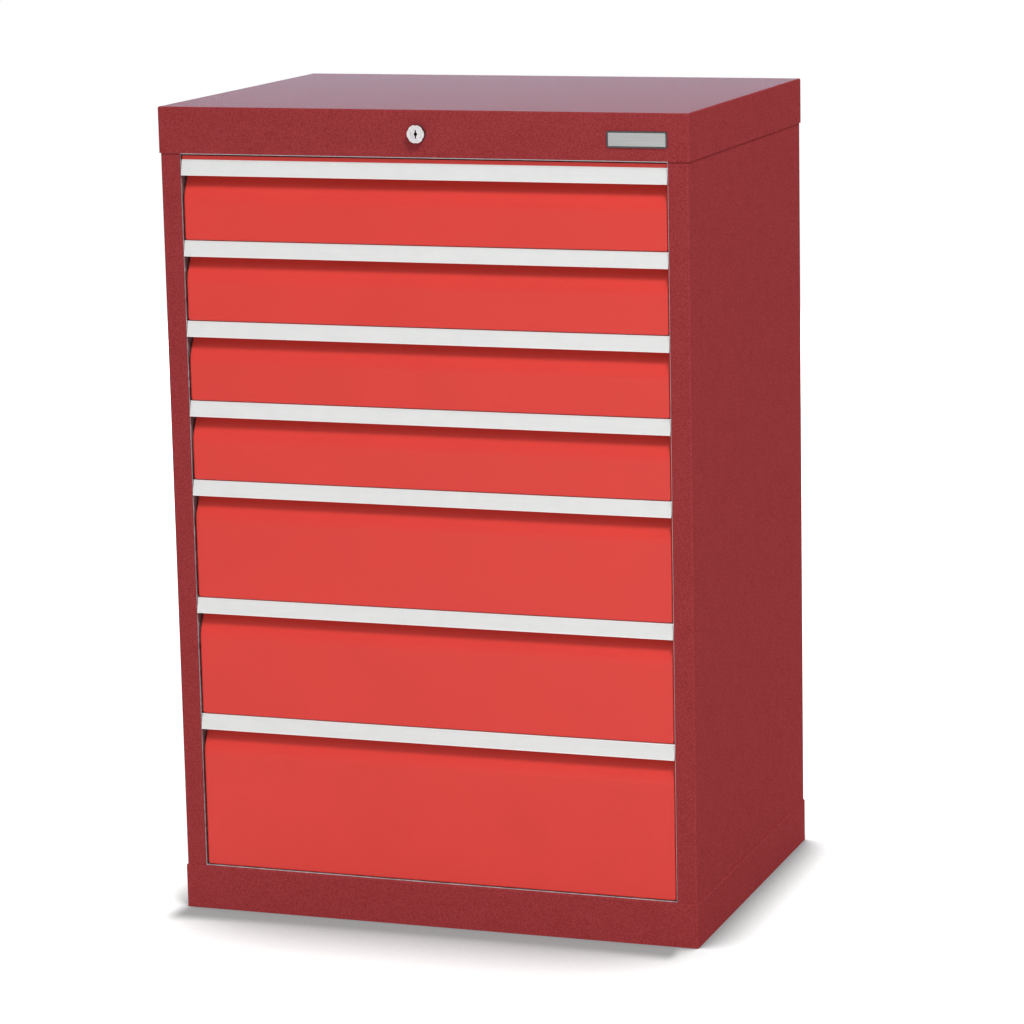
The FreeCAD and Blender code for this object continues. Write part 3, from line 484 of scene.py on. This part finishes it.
def screw_ring(centre, y, radius, sides=0):
    """A ring of points about a screw's axis: a circle, or a polygon with that many sides."""
    ring = []
    for index in range(SCREW_POINTS):
        angle = 2 * math.pi * index / SCREW_POINTS
        reach = radius
        if sides:
            half = math.pi / sides
            reach = radius * math.cos(half) / math.cos(angle % (2 * half) - half)
        ring.append((centre[0] + reach * math.cos(angle), y, centre[1] + reach * math.sin(angle)))
    return ring


def add_back_screws():
    """Button-headed screws with a hexagon socket."""
    low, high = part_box("back_screws")
    seat = high.y - SCREW_RISE
    outside = [
        (low.y, SCREW_SHANK - SCREW_TIP), (low.y + SCREW_TIP, SCREW_SHANK), (seat, SCREW_SHANK),
        (seat, SCREW_HEAD - SCREW_EDGE), (seat + SCREW_EDGE, SCREW_HEAD),
        *((seat + height, SCREW_HEAD * share) for height, share in SCREW_DOME),
        (high.y - SCREW_EDGE, SCREW_HEAD * SCREW_CROWN), (high.y, SCREW_HEAD * SCREW_FLAT)]
    hexagon = [(high.y, SCREW_SOCKET + SOCKET_EDGE), (high.y - SOCKET_EDGE, SCREW_SOCKET),
               (seat + SOCKET_EDGE, SCREW_SOCKET)]
    step = (high.z - low.z - SCREW_HEAD * 2) / (SCREW_ROWS - 1)
    mesh = bmesh.new()
    for x in (low.x + SCREW_HEAD, high.x - SCREW_HEAD):
        for row in range(SCREW_ROWS):
            centre = (x, low.z + SCREW_HEAD + step * row)
            add_skin(mesh, [screw_ring(centre, *ring) for ring in outside]
                     + [screw_ring(centre, *ring, SOCKET_SIDES) for ring in hexagon])
    add_piece("flange_screws", mesh, "slide_steel", "cabinet", ["back_screws"])


# Light, floor and background

AMBIENT = 0.42  # the light of the white surroundings, as a share of how bright they look

FLOOR_HALF = 60.0
FLOOR_DROP = 0.0002  # how far the floor lies under the cabinet
FLOOR_GREY = 0.8  # how much light the floor throws back on the cabinet
FLOOR_GLOW = 1.37  # the seen floor is paper that shines by itself ...
FLOOR_LIT = 0.4  # ... mixed with this share of paper that shows the lamps' own shadows

# The soft shadow at the foot, and how far it reaches on each side of the cabinet
SHADOW_FRONT = 0.31
SHADOW_LEFT = 0.08
SHADOW_RIGHT = 0.10
SHADOW_OPENNESS = (0.5, 0.885)  # how open to the sky its darkest and its lightest points are
SHADOW_DARKEST = 0.228
SHADOW_SAMPLES = 16
# Where the long reach of the front fades, from the front edge and the two corners
REACH_BACK = (-0.02, 0.01)
REACH_LEFT = (-0.06, -0.01)
REACH_RIGHT = (0.0, 0.06)
# The band right in front of the plinth, and where it fades from the same edge and corners
BAND_DARKEST = 0.298
BAND_FRONT = (-0.075, -0.02)
BAND_BACK = (0.05, 0.1)
BAND_LEFT = (-0.026, 0.010)
BAND_RIGHT = (-0.03, 0.0)


def add_world():
    """White surroundings, which light the cabinet less than they look."""
    world = bpy.data.worlds.new("white_studio")
    world.use_nodes = True
    nodes = Nodes(world.node_tree)
    background = nodes.tree.nodes["Background"]
    background.inputs["Color"].default_value = (1.0, 1.0, 1.0, 1.0)
    nodes.link(nodes.ramp(nodes.seen_or_mirrored(), 0.0, 1.0, AMBIENT, 1.0),
               background.inputs["Strength"])
    scene.world = world


def foot_shadow(nodes):
    """What the shadow leaves of the floor's white, from 0 to 1."""
    (left, front, _), (right, _, _) = cad_box
    axes = nodes.axes(nodes.coordinates())

    def rise(axis, edge, stretch):
        """From 0 to 1 along an axis, over a stretch whose ends are measured from an edge."""
        return nodes.ramp(axes[axis], edge + stretch[0], edge + stretch[1], 0.0, 1.0,
                          "SMOOTHSTEP")

    def fall(axis, edge, stretch, kind="SMOOTHSTEP"):
        return nodes.ramp(axes[axis], edge + stretch[0], edge + stretch[1], 1.0, 0.0, kind)

    def both(first, second):
        return nodes.combine("MULTIPLY", first, second)

    # The shadow reaches further in front of the cabinet than beside it.
    inward = both(rise("X", left, REACH_LEFT), fall("X", right, REACH_RIGHT))
    reach = nodes.node("ShaderNodeMix", data_type="FLOAT")
    nodes.link(both(fall("Y", front, REACH_BACK), inward), reach.inputs["Factor"])
    nodes.link(nodes.ramp(axes["X"], left, right, SHADOW_LEFT, SHADOW_RIGHT), reach.inputs["A"])
    reach.inputs["B"].default_value = SHADOW_FRONT
    contact = nodes.node("ShaderNodeAmbientOcclusion", samples=SHADOW_SAMPLES)
    nodes.link(reach.outputs["Result"], contact.inputs["Distance"])
    soft = nodes.ramp(contact.outputs["AO"], *SHADOW_OPENNESS, SHADOW_DARKEST, 1.0)

    # Right in front, it keeps its depth as far as the cabinet's corners.
    ahead = both(rise("Y", front, BAND_FRONT), fall("Y", front, BAND_BACK, "LINEAR"))
    along = both(rise("X", left, BAND_LEFT), fall("X", right, BAND_RIGHT))
    band = nodes.ramp(both(ahead, along), 0.0, 1.0, 1.0, BAND_DARKEST)
    return nodes.combine("MINIMUM", soft, band)


def floor_material():
    """White paper: lit like any surface, and seen as white but for the shadow on it."""
    material = bpy.data.materials.new("studio_floor")
    material.use_nodes = True
    material.node_tree.nodes.clear()
    nodes = Nodes(material.node_tree)
    shade = foot_shadow(nodes)
    shadow = nodes.node("ShaderNodeCombineColor")
    for channel in ("Red", "Green", "Blue"):
        nodes.link(shade, shadow.inputs[channel])

    def mixed(factor, first, second):
        made = nodes.node("ShaderNodeMixShader")
        if isinstance(factor, float):
            made.inputs["Fac"].default_value = factor
        else:
            nodes.link(factor, made.inputs["Fac"])
        nodes.link(first, made.inputs[1])
        nodes.link(second, made.inputs[2])
        return made.outputs["Shader"]

    lit = nodes.node("ShaderNodeBsdfDiffuse")
    lit.inputs["Color"].default_value = (FLOOR_GREY, FLOOR_GREY, FLOOR_GREY, 1.0)
    lit_seen = nodes.node("ShaderNodeBsdfDiffuse")
    nodes.link(shadow.outputs["Color"], lit_seen.inputs["Color"])
    glow = nodes.node("ShaderNodeEmission")
    glow.inputs["Strength"].default_value = FLOOR_GLOW
    nodes.link(shadow.outputs["Color"], glow.inputs["Color"])
    seen = mixed(FLOOR_LIT, glow.outputs["Emission"], lit_seen.outputs["BSDF"])
    output = nodes.node("ShaderNodeOutputMaterial")
    nodes.link(mixed(nodes.seen_or_mirrored(), lit.outputs["BSDF"], seen),
               output.inputs["Surface"])
    return material


def add_floor():
    half = FLOOR_HALF
    data = bpy.data.meshes.new("studio_floor")
    data.from_pydata([(-half, -half, 0), (half, -half, 0), (half, half, 0), (-half, half, 0)],
                     [], [(0, 1, 2, 3)])
    data.materials.append(floor_material())
    floor = bpy.data.objects.new("studio_floor", data)
    floor.location.z = cad_box[0][2] - FLOOR_DROP
    scene.collection.objects.link(floor)


def add_lamp(name, azimuth, height, distance, size, power, target=(0.0, 0.0, 0.5)):
    """A soft box that looks at a point from an azimuth measured from straight in front."""
    data = bpy.data.lights.new(name, "AREA")
    data.shape = "RECTANGLE"
    data.size, data.size_y = size
    data.energy = power
    lamp = bpy.data.objects.new(name, data)
    scene.collection.objects.link(lamp)
    angle, rise = math.radians(azimuth), math.radians(height)
    away = Vector((math.sin(angle) * math.cos(rise), -math.cos(angle) * math.cos(rise),
                   math.sin(rise)))
    lamp.location = Vector(target) + away * distance
    lamp.rotation_euler = away.to_track_quat("Z", "Y").to_euler()


add_camera()
finish_nodes()
add_badge()
add_back_screws()
add_world()
add_floor()
add_lamp("key_box", azimuth=43.0, height=50.0, distance=9.0, size=(2.0, 2.0), power=560.0)
add_lamp("left_fill", azimuth=-110.0, height=25.0, distance=5.0, size=(3.0, 3.0), power=50.0)
add_lamp("back_fill", azimuth=-165.0, height=14.0, distance=5.0, size=(3.0, 2.0), power=230.0)
add_lamp("low_fill", azimuth=10.0, height=2.0, distance=2.5, size=(2.0, 0.4), power=8.0,
         target=(0.0, -0.25, 0.05))

scene.view_settings.view_transform = "Standard"
